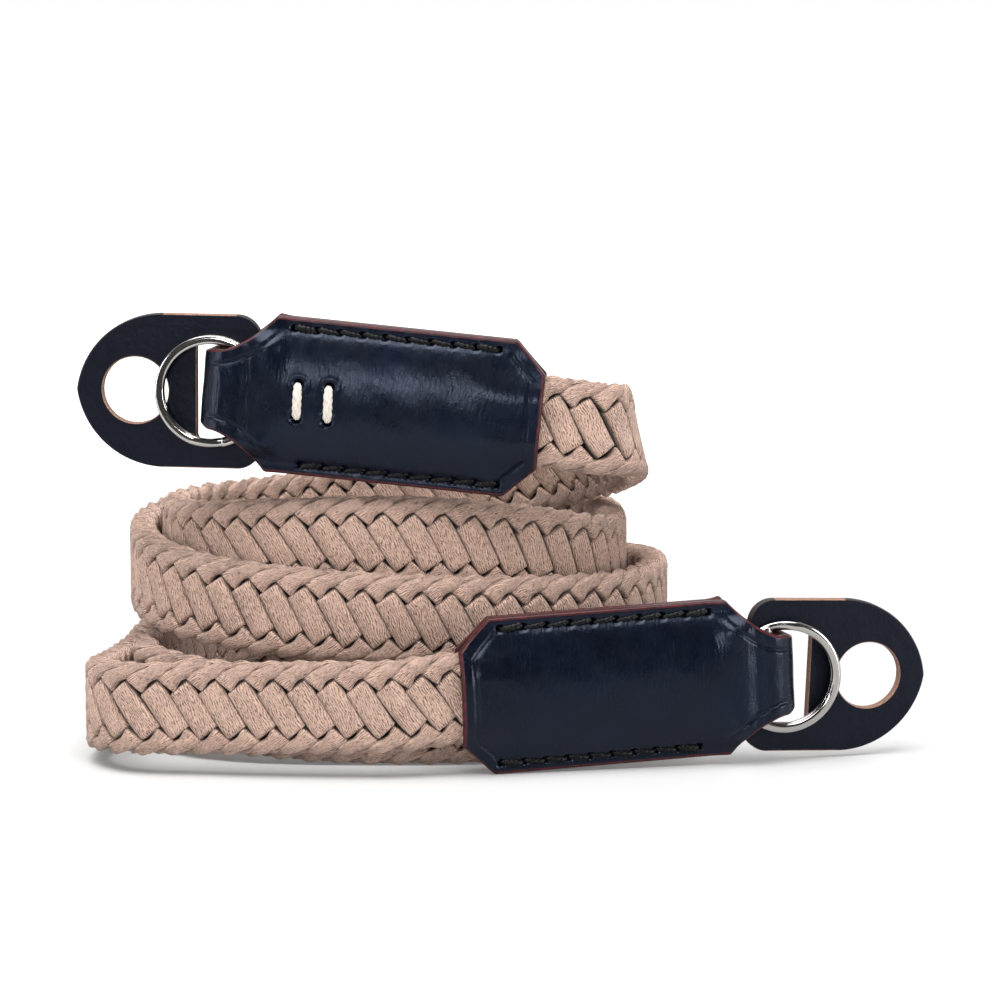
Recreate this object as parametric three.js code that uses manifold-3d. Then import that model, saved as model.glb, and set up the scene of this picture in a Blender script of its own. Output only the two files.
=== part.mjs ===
import * as THREE from 'three';
import { mergeVertices } from 'three/addons/utils/BufferGeometryUtils.js';
import Module from 'manifold-3d';

// A flat braided camera strap coiled four times, with a leather tab, a split ring and a guard at each end.
// Lengths are in millimetres and angles in degrees. +Z is up, the strap stands on z = 0, +X is to the right.

const wasm = await Module();
wasm.setup();

// Braided band
const bandWidth = 14.5;
const bandThickness = 4.6;
const bandEdgeRadius = 1.5;
const bandSteps = 190;

// Coil, seen from above
const coilHalfLength = 42.5;
const coilHalfDepth = 34;
const coilFullness = 0.035; // how far the oval swells towards its corners
const layerGap = 0.5; // air between two layers of band
const stationsPerQuarter = 9;

// Leather of the end tabs
const leather = 1.4;
const fit = 0.3; // clearance between pieces that touch
const tabLength = 54;
const tabWidth = 25;
const tabChamfer = 5;
const shoulderLength = 11; // from the shoulder corner to the fold
const shoulderCurve = 1.7; // above 1 the shoulder's edge is hollow
const seamWidth = 2.3; // sewn margin along each long side
const faceSeamWidth = 2; // the same on the outside, where the leather is pulled softer
const faceCrown = 11.2; // width of the level top of the face
const neckStraight = 2; // from the fold to the start of the shoulder's curve
const pocketStop = 2.4; // from the band's end to the loop
const loopRamp = 2.6; // over which the layers part for the loop

// Split ring
const ringOuterDiameter = 18;
const ringWireWidth = 1.45;
const ringWireDepth = 0.95;
const ringTurnGap = 0.1;
const ringFromFold = 1.5; // from the fold to the ring's middle
const ringJog = 34; // degrees over which the wire steps from one turn to the other
const ringSteps = 48;

// Guard
const guardThickness = 1.8;
const guardWidth = 24.6;
const guardHoleDiameter = 10.6;
const guardTipWall = 4.2; // from the tip to the hole
const guardStrip = 4.6; // from the hole to the slot
const guardSlotWidth = 6.4;
const guardSlotCorner = 1;
const guardBar = 4; // the end bar, held inside the loop
const guardCorner = 4;
const guardShoulder = 14; // from the tip to where the sides run straight
const guardTipRadius = 2;
const neckPlay = 2.2; // room between the neck and the ring's inside
const slotPlay = 2.8; // room between the neck and the ends of the slot
const ringSag = 0.6; // how far the ring hangs below the neck's middle
const guardSag = 1;
const foldPlay = 1; // from the fold to the slot's far edge

// Worked out from the sizes above
const layerPitch = bandThickness + layerGap;
const ringDepth = 2 * ringWireDepth + ringTurnGap;
const ringInnerDiameter = ringOuterDiameter - 2 * ringWireWidth;
const neckWidth = ringInnerDiameter - neckPlay;
const pocketHalf = bandThickness / 2 + fit;
const loopHalf = (ringDepth + guardThickness + 6 * fit) / 2;
const foldCentre = tabLength - loopHalf - leather;
const loopStart = tabLength - shoulderLength - 4 * fit;
const pocketDepth = loopStart - pocketStop;
const guardSlotLength = neckWidth + slotPlay;
const guardLength =
  guardTipWall + guardHoleDiameter + guardStrip + guardSlotWidth + guardBar;

// The coil, from the upper tab down to the lower one, with more rows where the top turn drops inside the next.
// turn: quarter turns from the front, so 1 is the right, 2 the back and 3 the left.
// inset: layers of band inward from the coil's outside. height: the band's middle, in band widths.
// lean: degrees by which the band's upper edge tips inward.
const coilRows = [
  { turn: 0.444, inset: -0.95, height: 3.66, lean: 3 },
  { turn: 0.6, inset: -0.2, height: 3.54, lean: 12 },
  { turn: 0.72, inset: 0.6, height: 3.39, lean: 19 },
  { turn: 1, inset: 1.5, height: 3.12, lean: 24 },
  { turn: 1.33, inset: 1.9, height: 2.86, lean: 11 },
  { turn: 1.67, inset: 2.15, height: 2.6, lean: 0 },
  { turn: 2, inset: 2.0, height: 2.3, lean: 0 },
  { turn: 2.5, inset: 1.4, height: 2.06, lean: 0 },
  { turn: 3, inset: 1.06, height: 2.1, lean: 0 },
  { turn: 4, inset: 1.15, height: 2.38, lean: 0 },
  { turn: 5, inset: 1.34, height: 1.9, lean: 0 },
  { turn: 5.5, inset: 0.7, height: 1.9, lean: 0 },
  { turn: 6, inset: 0.3, height: 1.95, lean: 0 },
  { turn: 7, inset: 0, height: 1.86, lean: 0 },
  { turn: 8, inset: 0.05, height: 1.58, lean: 0 },
  { turn: 9, inset: 0, height: 1.4, lean: 0 },
  { turn: 10, inset: -0.6, height: 1.0, lean: 0 },
  { turn: 10.5, inset: 0.65, height: 0.79, lean: 0 },
  { turn: 10.75, inset: 1.0, height: 0.75, lean: 0 },
  { turn: 11, inset: 0.85, height: 0.72, lean: 0 },
  { turn: 11.2, inset: 0.35, height: 0.69, lean: 0 },
  { turn: 11.39, inset: -0.7, height: 0.65, lean: 0 },
  { turn: 11.6, inset: -0.65, height: 0.6, lean: 0 },
  { turn: 12, inset: -0.3, height: 0.5, lean: 0 },
  { turn: 12.5, inset: -0.6, height: 0.5, lean: 0 },
  { turn: 13, inset: -1.1, height: 0.5, lean: 0 },
  { turn: 14, inset: -1.75, height: 0.5, lean: 0 },
  { turn: 14.5, inset: -0.6, height: 0.5, lean: 0 },
  { turn: 15, inset: -0.2, height: 0.5, lean: 0 },
  { turn: 15.2, inset: -0.85, height: 0.52, lean: 0 },
  { turn: 15.33, inset: -1.75, height: 0.57, lean: 0 },
  { turn: 15.42, inset: -2.7, height: 0.63, lean: 0 },
  { turn: 15.5, inset: -3.35, height: 0.68, lean: 0 },
  { turn: 15.56, inset: -3.35, height: 0.7, lean: 0 },
  { turn: 15.61, inset: -3.1, height: 0.72, lean: 0 },
  { turn: 15.72, inset: -2.6, height: 0.74, lean: 0 },
  { turn: 16, inset: -2.3, height: 0.78, lean: 0 },
];

// Where each tab's mouth is: x in half lengths, y in half depths.
// bed: height of what the tab's edge stands on, in band widths.
// heading: degrees in plan from the +X axis to the way the tab points. climb: degrees upward.
// ringTurn, guardTurn: degrees that ring and guard swing back. droop: degrees that the guard's tip hangs down.
// slide: how far the guard has slid out through its loop.
const ends = {
  upper: { x: 0.55, y: -0.945, bed: 2.925, heading: 176, climb: 5.5, ringTurn: 1, guardTurn: 2.4, droop: 5, slide: 0 },
  lower: { x: 0.244, y: -1.29, bed: 0, heading: 11, climb: 2.4, ringTurn: 2, guardTurn: 2.8, droop: 5, slide: 1.8 },
};

const up = new THREE.Vector3(0, 0, 1);
const colours = {
  band: new THREE.MeshStandardMaterial({ color: '#bfa28d', roughness: 0.95 }),
  leather: new THREE.MeshStandardMaterial({ color: '#11182b', roughness: 0.35 }),
  steel: new THREE.MeshStandardMaterial({ color: '#c9c9cb', roughness: 0.2, metalness: 1 }),
};

// A value that runs smoothly through a column of the coil's table without overshooting any row
function alongColumn(name, turn) {
  const last = coilRows.length - 1;
  const run = (i) => coilRows[i + 1].turn - coilRows[i].turn;
  const grade = (i) => (coilRows[i + 1][name] - coilRows[i][name]) / run(i);
  const slope = (i) => {
    if (i === 0 || i === last || grade(i - 1) * grade(i) <= 0) return 0;
    return (2 * grade(i - 1) * grade(i)) / (grade(i - 1) + grade(i));
  };
  const past = coilRows.findIndex((row) => row.turn > turn);
  const i = THREE.MathUtils.clamp((past < 0 ? last : past) - 1, 0, last - 1);
  const t = (turn - coilRows[i].turn) / run(i);
  const ease = t * t * (3 - 2 * t);
  const bend = t * (1 - t) * run(i) * ((1 - t) * slope(i) - t * slope(i + 1));
  return THREE.MathUtils.lerp(coilRows[i][name], coilRows[i + 1][name], ease) + bend;
}

// One station of the band's route round the coil
function coilStation(turn) {
  const round = ((turn - 1) * Math.PI) / 2;
  const inset = alongColumn('inset', turn) * layerPitch;
  const swell = 1 - coilFullness;
  const point = new THREE.Vector3(
    ((coilHalfLength - inset) * (Math.cos(round) - coilFullness * Math.cos(3 * round))) / swell,
    ((coilHalfDepth - inset) * (Math.sin(round) + coilFullness * Math.sin(3 * round))) / swell,
    alongColumn('height', turn) * bandWidth,
  );
  return { point, lean: alongColumn('lean', turn) };
}

// The place and turn of an end: local +x runs from the tab's mouth to its fold, local +z faces the viewer.
function endPlacement(end) {
  const heading = THREE.MathUtils.degToRad(end.heading);
  const climb = THREE.MathUtils.degToRad(end.climb);
  const along = new THREE.Vector3(
    Math.cos(heading) * Math.cos(climb),
    Math.sin(heading) * Math.cos(climb),
    Math.sin(climb),
  );
  const facing = new THREE.Vector3().crossVectors(along, up).normalize();
  if (facing.y > 0) facing.negate();
  const across = new THREE.Vector3().crossVectors(facing, along);
  const mouth = new THREE.Vector3(
    end.x * coilHalfLength,
    end.y * coilHalfDepth,
    end.bed * bandWidth + (tabWidth / 2) * Math.cos(climb) - tabChamfer * Math.sin(climb),
  );
  return { mouth, along, facing, across };
}

// The whole route: out of the upper tab's pocket, round the coil and into the lower tab's pocket
function bandStations() {
  const stations = [];
  const inPocket = (placement, distance) => ({
    point: placement.mouth.clone().addScaledVector(placement.along, distance),
    lean: 0,
  });
  const pocketShares = [1, 0.66, 0.33, 0.12, 0, -0.06];
  const upper = endPlacement(ends.upper);
  for (const share of pocketShares) stations.push(inPocket(upper, share * pocketDepth));
  const first = coilRows[0].turn;
  const span = coilRows.at(-1).turn - first;
  const steps = Math.ceil(span * stationsPerQuarter);
  for (let i = 0; i <= steps; i += 1) stations.push(coilStation(first + (span * i) / steps));
  const lower = endPlacement(ends.lower);
  for (const share of pocketShares.toReversed()) {
    stations.push(inPocket(lower, share * pocketDepth));
  }
  return stations;
}

// A route whose frames keep the band's width upright, apart from its lean
class BandRoute extends THREE.CatmullRomCurve3 {
  constructor(stations) {
    super(stations.map((station) => station.point), false, 'centripetal');
    this.stations = stations;
    this.arcLengthDivisions = 3000;
  }

  leanAt(share) {
    const at = this.getUtoTmapping(share) * (this.stations.length - 1);
    const i = Math.min(Math.floor(at), this.stations.length - 2);
    return THREE.MathUtils.lerp(this.stations[i].lean, this.stations[i + 1].lean, at - i);
  }

  computeFrenetFrames(steps) {
    const frames = { tangents: [], normals: [], binormals: [] };
    for (let step = 0; step <= steps; step += 1) {
      const tangent = this.getTangentAt(step / steps);
      const outward = new THREE.Vector3().crossVectors(tangent, up).normalize();
      const lean = THREE.MathUtils.degToRad(this.leanAt(step / steps));
      outward.applyAxisAngle(tangent, -lean);
      frames.tangents.push(tangent);
      frames.normals.push(outward);
      frames.binormals.push(new THREE.Vector3().crossVectors(tangent, outward));
    }
    return frames;
  }
}

// The split ring's wire: two flat turns and the jog between them
class SplitRingWire extends THREE.Curve {
  getPoint(share, target = new THREE.Vector3()) {
    const turn = share * (720 - ringJog);
    const angle = THREE.MathUtils.degToRad(90 + ringJog / 2 + turn);
    const jog = THREE.MathUtils.smoothstep(turn, 360 - ringJog, 360);
    const radius = (ringOuterDiameter - ringWireWidth) / 2;
    const offset = (ringWireDepth + ringTurnGap) * (0.5 - jog);
    return target.set(radius * Math.cos(angle), radius * Math.sin(angle), offset);
  }

  computeFrenetFrames(steps) {
    const frames = { tangents: [], normals: [], binormals: [] };
    for (let step = 0; step <= steps; step += 1) {
      const tangent = this.getTangentAt(step / steps);
      const outward = this.getPointAt(step / steps).setZ(0).normalize();
      frames.tangents.push(tangent);
      frames.normals.push(outward);
      frames.binormals.push(new THREE.Vector3().crossVectors(tangent, outward).normalize());
    }
    return frames;
  }
}

function roundedRectangle(width, height, radius) {
  const shape = new THREE.Shape();
  const x = width / 2 - radius;
  const y = height / 2 - radius;
  shape.absarc(x, y, radius, 0, Math.PI / 2);
  shape.absarc(-x, y, radius, Math.PI / 2, Math.PI);
  shape.absarc(-x, -y, radius, Math.PI, 1.5 * Math.PI);
  shape.absarc(x, -y, radius, 1.5 * Math.PI, 2 * Math.PI);
  return shape;
}

function sweep(section, route, steps) {
  return new THREE.ExtrudeGeometry(section, {
    steps,
    curveSegments: 1,
    bevelEnabled: false,
    extrudePath: route,
  });
}

// Half of the tab's width at a distance from its mouth
function tabHalfWidth(x) {
  const full = tabWidth / 2;
  const neck = neckWidth / 2;
  if (x < tabChamfer) return full - (tabChamfer - x);
  const run = shoulderLength - neckStraight;
  const shoulder = THREE.MathUtils.clamp((tabLength - neckStraight - x) / run, 0, 1);
  return neck + (full - neck) * shoulder ** shoulderCurve;
}

// How far the two layers of a tab are parted, from 0 at the sewn margins to 1 over the band and in the loop
function parting(x, y, levelHalf, seam) {
  const overBand = 1 - THREE.MathUtils.smoothstep(Math.abs(y), levelHalf, tabWidth / 2 - seam);
  const rampFrom = loopStart - loopRamp / 2;
  const inLoop = THREE.MathUtils.smoothstep(x, rampFrom, rampFrom + loopRamp);
  return Math.max(overBand, inLoop);
}

// One layer of a tab from its mouth round to the middle of the fold. side is 1 for the layer facing the viewer.
function leatherLayer(side) {
  const overlap = 0.06;
  const stations = [];
  const flatShares = [0, 0.035, 0.07, 0.105, 0.3, 0.55, 0.8, 0.84, 0.87, 0.9, 0.93, 0.96, 1];
  for (const share of flatShares) {
    const x = share * foldCentre;
    const half = THREE.MathUtils.lerp(
      pocketHalf,
      loopHalf,
      THREE.MathUtils.smoothstep(x, pocketDepth, loopStart + loopRamp / 2),
    );
    stations.push({ x, turn: 0, half });
  }
  const foldTurns = 5;
  for (let i = 1; i <= foldTurns; i += 1) {
    stations.push({ x: foldCentre, turn: ((Math.PI / 2) * i) / foldTurns, half: loopHalf });
  }
  const flat = bandWidth / 2 - bandEdgeRadius / 2;
  const columns = [-1, -0.8, -0.6, -0.4, -0.2, 0, 0.2, 0.4, 0.6, 0.8, 1];
  const across = (column, halfWidth) => {
    const margin = THREE.MathUtils.clamp((Math.abs(column) - 0.2) / 0.8, 0, 1);
    return Math.sign(column) * THREE.MathUtils.lerp(Math.min(flat, 0.8 * halfWidth), halfWidth, margin);
  };
  const outer = [];
  const inner = [];
  for (const { x, turn, half } of stations) {
    const reach = x + (half + leather) * Math.sin(turn);
    const rise = side * Math.sin(Math.PI / 2 - turn);
    const halfWidth = tabHalfWidth(reach);
    for (const column of columns) {
      const y = across(column, halfWidth);
      const open = parting(x, y, flat, seamWidth);
      const gap = half * open - overlap * (1 - open);
      const face = half * parting(x, y, faceCrown / 2, faceSeamWidth) + leather;
      outer.push([x + face * Math.sin(turn), y, face * rise]);
      inner.push([x + gap * Math.sin(turn), y, gap * rise]);
    }
  }
  return closedSlab(outer, inner, stations.length, columns.length, side > 0);
}

// A closed mesh between two grids of points that share their rows and columns
function closedSlab(outer, inner, rows, columns, outerFirst) {
  const positions = [...outer, ...inner].flat();
  const indices = [];
  const quad = (a, b, c, d) => {
    indices.push(...(outerFirst ? [a, b, c, a, c, d] : [a, c, b, a, d, c]));
  };
  const at = (row, column, layer) => layer * rows * columns + row * columns + column;
  for (let r = 0; r < rows - 1; r += 1) {
    for (let c = 0; c < columns - 1; c += 1) {
      quad(at(r, c, 0), at(r + 1, c, 0), at(r + 1, c + 1, 0), at(r, c + 1, 0));
      quad(at(r, c, 1), at(r, c + 1, 1), at(r + 1, c + 1, 1), at(r + 1, c, 1));
    }
    quad(at(r, 0, 0), at(r, 0, 1), at(r + 1, 0, 1), at(r + 1, 0, 0));
    const last = columns - 1;
    quad(at(r, last, 0), at(r + 1, last, 0), at(r + 1, last, 1), at(r, last, 1));
  }
  for (let c = 0; c < columns - 1; c += 1) {
    quad(at(0, c, 0), at(0, c + 1, 0), at(0, c + 1, 1), at(0, c, 1));
    const last = rows - 1;
    quad(at(last, c, 0), at(last, c, 1), at(last, c + 1, 1), at(last, c + 1, 0));
  }
  const geometry = new THREE.BufferGeometry();
  geometry.setAttribute('position', new THREE.Float32BufferAttribute(positions, 3));
  geometry.setIndex(indices);
  return geometry;
}

function toSolid(geometry) {
  const bare = geometry.clone();
  bare.deleteAttribute('normal');
  bare.deleteAttribute('uv');
  const merged = mergeVertices(bare, 1e-4);
  return new wasm.Manifold(new wasm.Mesh({
    numProp: 3,
    vertProperties: new Float32Array(merged.attributes.position.array),
    triVerts: new Uint32Array(merged.index.array),
  }));
}

function fromSolid(solid) {
  const { vertProperties, triVerts } = solid.getMesh();
  const geometry = new THREE.BufferGeometry();
  geometry.setAttribute('position', new THREE.BufferAttribute(vertProperties, 3));
  geometry.setIndex(new THREE.BufferAttribute(triVerts, 1));
  return geometry;
}

// The folded tab: both layers, sewn together along their margins
function tabGeometry() {
  return fromSolid(toSolid(leatherLayer(1)).add(toSolid(leatherLayer(-1))).simplify(0.01));
}

// The guard's outline lies in x and y, with its tip at +x and the fold of the tab at x = 0
function guardGeometry() {
  const slotFar = foldPlay;
  const tip = slotFar + guardStrip + guardHoleDiameter + guardTipWall;
  const inner = tip - guardLength;
  const half = guardWidth / 2;
  const sideEnd = tip - guardShoulder;
  const rise = guardShoulder - guardTipRadius;
  const ogive = (rise * rise + half * half - guardTipRadius * guardTipRadius) / (2 * (half - guardTipRadius));
  const tipAngle = Math.atan2(ogive - half, rise);
  const shape = new THREE.Shape();
  shape.absarc(inner + guardCorner, -half + guardCorner, guardCorner, Math.PI, 1.5 * Math.PI);
  shape.absarc(sideEnd, ogive - half, ogive, 1.5 * Math.PI, 2 * Math.PI - tipAngle);
  shape.absarc(tip - guardTipRadius, 0, guardTipRadius, -tipAngle, tipAngle);
  shape.absarc(sideEnd, half - ogive, ogive, tipAngle, Math.PI / 2);
  shape.absarc(inner + guardCorner, half - guardCorner, guardCorner, Math.PI / 2, Math.PI);
  const hole = new THREE.Path();
  const holeRadius = guardHoleDiameter / 2;
  hole.absarc(slotFar + guardStrip + holeRadius, 0, holeRadius, 0, 2 * Math.PI, true);
  const slot = new THREE.Path();
  const slotX = [slotFar - guardSlotWidth + guardSlotCorner, slotFar - guardSlotCorner];
  const slotY = guardSlotLength / 2 - guardSlotCorner;
  slot.absarc(slotX[0], -slotY, guardSlotCorner, 1.5 * Math.PI, Math.PI, true);
  slot.absarc(slotX[0], slotY, guardSlotCorner, Math.PI, Math.PI / 2, true);
  slot.absarc(slotX[1], slotY, guardSlotCorner, Math.PI / 2, 0, true);
  slot.absarc(slotX[1], -slotY, guardSlotCorner, 0, -Math.PI / 2, true);
  shape.holes.push(hole, slot);
  const geometry = new THREE.ExtrudeGeometry(shape, {
    depth: guardThickness,
    curveSegments: 7,
    bevelEnabled: false,
  });
  return geometry.translate(0, 0, -guardThickness / 2);
}

function namedMesh(name, geometry, material) {
  const mesh = new THREE.Mesh(geometry, material);
  mesh.name = name;
  return mesh;
}

// A tab with its ring and guard, placed at one end of the band
function strapEnd(name, end) {
  const { mouth, along, facing, across } = endPlacement(end);
  const group = new THREE.Group();
  group.position.copy(mouth);
  group.quaternion.setFromRotationMatrix(new THREE.Matrix4().makeBasis(along, across, facing));
  group.add(namedMesh(`${name}_end_tab`, tabGeometry(), colours.leather));

  const down = across.z > 0 ? -1 : 1;
  const spare = loopHalf - (ringDepth + guardThickness + 2 * fit) / 2;
  const ring = new THREE.Group();
  ring.position.set(tabLength - ringFromFold, down * ringSag, loopHalf - fit - spare / 2 - ringDepth / 2);
  ring.rotation.y = THREE.MathUtils.degToRad(end.ringTurn);
  const wire = roundedRectangle(ringWireWidth, ringWireDepth, ringWireDepth / 4);
  ring.add(namedMesh(`${name}_split_ring`, sweep(wire, new SplitRingWire(), ringSteps), colours.steel));

  const guard = new THREE.Group();
  const guardDepth = loopHalf - fit - spare / 2 - guardThickness / 2;
  guard.position.set(tabLength + end.slide, down * guardSag, -guardDepth);
  guard.rotation.y = THREE.MathUtils.degToRad(end.guardTurn);
  guard.rotateZ(down * THREE.MathUtils.degToRad(end.droop));
  guard.add(namedMesh(`${name}_guard`, guardGeometry(), colours.leather));
  group.add(ring, guard);
  return group;
}

const strap = new THREE.Group();
const bandSection = roundedRectangle(bandThickness, bandWidth, bandEdgeRadius);
const bandRoute = new BandRoute(bandStations());
strap.add(namedMesh('braided_band', sweep(bandSection, bandRoute, bandSteps), colours.band));
strap.add(strapEnd('upper', ends.upper), strapEnd('lower', ends.lower));

// The origin is below the middle of the whole strap, on the surface that it stands on
const extent = new THREE.Box3().setFromObject(strap, true);
const middle = extent.getCenter(new THREE.Vector3());
strap.position.set(-middle.x, -middle.y, -extent.min.z);

const part = new THREE.Group();
part.add(strap);

export default part;
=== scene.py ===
import math
import random

import bpy
import numpy as np
from mathutils import Matrix, Vector


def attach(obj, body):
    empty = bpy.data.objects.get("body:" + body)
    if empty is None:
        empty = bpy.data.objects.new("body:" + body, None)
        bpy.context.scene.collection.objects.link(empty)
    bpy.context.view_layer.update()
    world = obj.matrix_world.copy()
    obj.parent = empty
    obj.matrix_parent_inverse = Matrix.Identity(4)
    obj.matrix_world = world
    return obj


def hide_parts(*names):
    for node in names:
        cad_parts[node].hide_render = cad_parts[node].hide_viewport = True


# A coiled camera strap: a braid of seven strands with a sewn leather tab, a split ring and a guard
# at each end. Sizes are in millimetres until a mesh is made, which is in metres.
# +Z is up and the viewer is on the -Y side.

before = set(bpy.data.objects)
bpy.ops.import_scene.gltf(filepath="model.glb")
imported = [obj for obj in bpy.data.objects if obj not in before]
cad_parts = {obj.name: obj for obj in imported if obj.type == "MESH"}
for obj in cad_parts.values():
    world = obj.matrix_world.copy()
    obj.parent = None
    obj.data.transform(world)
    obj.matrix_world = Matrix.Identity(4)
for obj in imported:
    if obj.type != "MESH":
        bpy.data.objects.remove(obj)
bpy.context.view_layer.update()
draws = random.Random(7)
noiseDraws = np.random.default_rng(7)

mm = 0.001
# How far the CAD source moves the finished strap to centre it over its origin
strapShift = Vector((-17.137380308557397, 1.4522113800048828, 0.0067557054571807384))


def linearFromHex(code):
    values = [int(code[i : i + 2], 16) / 255 for i in (1, 3, 5)]
    return (*[v / 12.92 if v <= 0.04045 else ((v + 0.055) / 1.055) ** 2.4 for v in values], 1.0)


def smoothstep(x, low, high):
    t = np.clip((x - low) / (high - low), 0, 1)
    return t * t * (3 - 2 * t)


def bump(x, middle, width):
    return np.exp(-(((x - middle) / width) ** 2))


# Material nodes


def addNode(tree, kind, settings=None, links=None):
    node = tree.nodes.new(kind)
    for key, value in (settings or {}).items():
        if isinstance(key, int) or key in node.inputs:
            node.inputs[key].default_value = value
        else:
            setattr(node, key, value)
    for key, source in (links or {}).items():
        tree.links.new(source, node.inputs[key])
    return node


def newMaterial(name, settings):
    material = bpy.data.materials.new(name)
    material.use_nodes = True
    tree = material.node_tree
    shader = tree.nodes["Principled BSDF"]
    for key, value in settings.items():
        shader.inputs[key].default_value = value
    return material, tree, shader


def ramp(tree, factor, stops):
    node = addNode(tree, "ShaderNodeValToRGB", links={0: factor})
    elements = node.color_ramp.elements
    while len(elements) < len(stops):
        elements.new(0.5)
    for element, (position, code) in zip(elements, stops):
        element.position = position
        element.color = linearFromHex(code) if isinstance(code, str) else (code, code, code, 1)
    return node.outputs["Color"]


def scaled(tree, vector, scale):
    return addNode(tree, "ShaderNodeMapping", {"Scale": scale}, {"Vector": vector}).outputs[0]


def scaledUv(tree, uvName, alongScale, acrossScale):
    uv = addNode(tree, "ShaderNodeUVMap", {"uv_map": uvName})
    return scaled(tree, uv.outputs[0], (acrossScale, alongScale, 1))


def objectMillimetres(tree):
    place = addNode(tree, "ShaderNodeTexCoord")
    return scaled(tree, place.outputs["Object"], (1000, 1000, 1000))


def noise(tree, vector, scale, detail=2.0, roughness=0.5):
    settings = {"Scale": scale, "Detail": detail, "Roughness": roughness}
    return addNode(tree, "ShaderNodeTexNoise", settings, {"Vector": vector}).outputs["Fac"]


def calculate(tree, operation, first, second):
    node = addNode(tree, "ShaderNodeMath", {"operation": operation})
    for i, value in enumerate((first, second)):
        if isinstance(value, (int, float)):
            node.inputs[i].default_value = value
        else:
            tree.links.new(value, node.inputs[i])
    return node.outputs[0]


def bumped(tree, shader, height, distance, strength):
    settings = {"Distance": distance * mm, "Strength": strength}
    node = addNode(tree, "ShaderNodeBump", settings, {"Height": height})
    tree.links.new(node.outputs[0], shader.inputs["Normal"])


def coloured(tree, shader, factor, stops):
    tree.links.new(ramp(tree, factor, stops), shader.inputs["Base Color"])


# Width of a yarn, how far it leans along the strand and how far it strays from its line
yarns = dict(width=0.36, lean=0.16, drift=1.4)


# Cotton strands braided from fine yarns: soft and matt, with yarn lines along each strand and
# painted shade in the gaps between them
def braidMaterial():
    settings = {"Roughness": 0.95, "Specular IOR Level": 0.12}
    settings.update({"Sheen Weight": 0.15, "Sheen Roughness": 0.6})
    material, tree, shader = newMaterial("braided_cotton", settings)
    drift = noise(tree, scaledUv(tree, "strand", 0.35, 0.5), 1.0, 2)
    uv = addNode(tree, "ShaderNodeUVMap", {"uv_map": "strand"})
    split = addNode(tree, "ShaderNodeSeparateXYZ", links={0: uv.outputs[0]})
    strayed = calculate(tree, "MULTIPLY", drift, yarns["drift"])
    across = calculate(tree, "ADD", split.outputs[0], strayed)
    leaning = calculate(tree, "MULTIPLY", split.outputs[1], yarns["lean"])
    twisted = calculate(tree, "ADD", across, leaning)
    turned = calculate(tree, "MULTIPLY", twisted, math.pi / yarns["width"])
    wave = calculate(tree, "SINE", turned, 0)
    yarn = calculate(tree, "ABSOLUTE", wave, 0)
    fibres = noise(tree, scaledUv(tree, "strand", 1.3, 5.0), 1.0, 3, 0.65)
    fuzz = noise(tree, objectMillimetres(tree), 4.2, 2, 0.7)
    patches = noise(tree, objectMillimetres(tree), 0.22, 2)
    height = calculate(tree, "ADD", calculate(tree, "MULTIPLY", yarn, 0.5), fibres)
    fine = calculate(tree, "ADD", calculate(tree, "MULTIPLY", yarn, 0.2), fibres)
    speckled = calculate(tree, "ADD", fine, calculate(tree, "MULTIPLY", fuzz, 0.5))
    tone = calculate(tree, "ADD", speckled, calculate(tree, "MULTIPLY", patches, 0.2))
    colour = ramp(tree, tone, [(0.7, "#35251e"), (0.86, "#8b6e63"), (1.0, "#c1a291")])
    # Painted shade: the colour is darkened where the relief map says the surface lies deep in the
    # braid, most in the gaps between strands
    relief = addNode(tree, "ShaderNodeUVMap", {"uv_map": "relief"})
    rise = addNode(tree, "ShaderNodeSeparateXYZ", links={0: relief.outputs[0]})
    shadow = ramp(tree, rise.outputs[0], [(0.25, 0.1), (0.58, 0.35), (0.78, 0.82), (0.9, 1.0)])
    mixed = addNode(
        tree,
        "ShaderNodeMix",
        {"data_type": "RGBA", "blend_type": "MULTIPLY", 0: 1.0},
        {6: colour, 7: shadow},
    )
    tree.links.new(mixed.outputs[2], shader.inputs["Base Color"])
    bumped(tree, shader, height, 0.36, 1.0)
    return material


# Polished calf leather, dyed in the drum: nearly black blue, with a soft sheen and fine wrinkles
def tabLeatherMaterial():
    material, tree, shader = newMaterial(
        "navy_calf_leather", {"Specular IOR Level": 0.26, "Specular Tint": (0.66, 0.76, 1, 1)}
    )
    place = objectMillimetres(tree)
    broad = noise(tree, place, 0.12, 3)
    coloured(tree, shader, broad, [(0.35, "#01030c"), (0.65, "#030716")])
    rough = addNode(
        tree,
        "ShaderNodeMapRange",
        {"From Min": 0.3, "From Max": 0.7, "To Min": 0.26, "To Max": 0.33},
        {"Value": noise(tree, place, 0.5, 4)},
    )
    tree.links.new(rough.outputs[0], shader.inputs["Roughness"])
    pores = noise(tree, place, 3.2, 3, 0.6)
    wrinkles = noise(tree, scaledUv(tree, "leather", 2.0, 0.6), 1.0, 2, 0.5)
    height = calculate(tree, "ADD", pores, calculate(tree, "MULTIPLY", wrinkles, 3))
    bumped(tree, shader, height, 0.05, 0.5)
    return material


# Firm vegetable-tanned guard leather: nearly black, with a duller sheen than the tabs
def guardLeatherMaterial():
    settings = {"Roughness": 0.4, "Specular IOR Level": 0.19, "Specular Tint": (0.7, 0.75, 1, 1)}
    material, tree, shader = newMaterial("dark_guard_leather", settings)
    place = objectMillimetres(tree)
    coloured(tree, shader, noise(tree, place, 0.25, 3), [(0.35, "#02030a"), (0.7, "#05070f")])
    bumped(tree, shader, noise(tree, place, 0.9, 5, 0.6), 0.16, 0.5)
    return material


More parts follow.
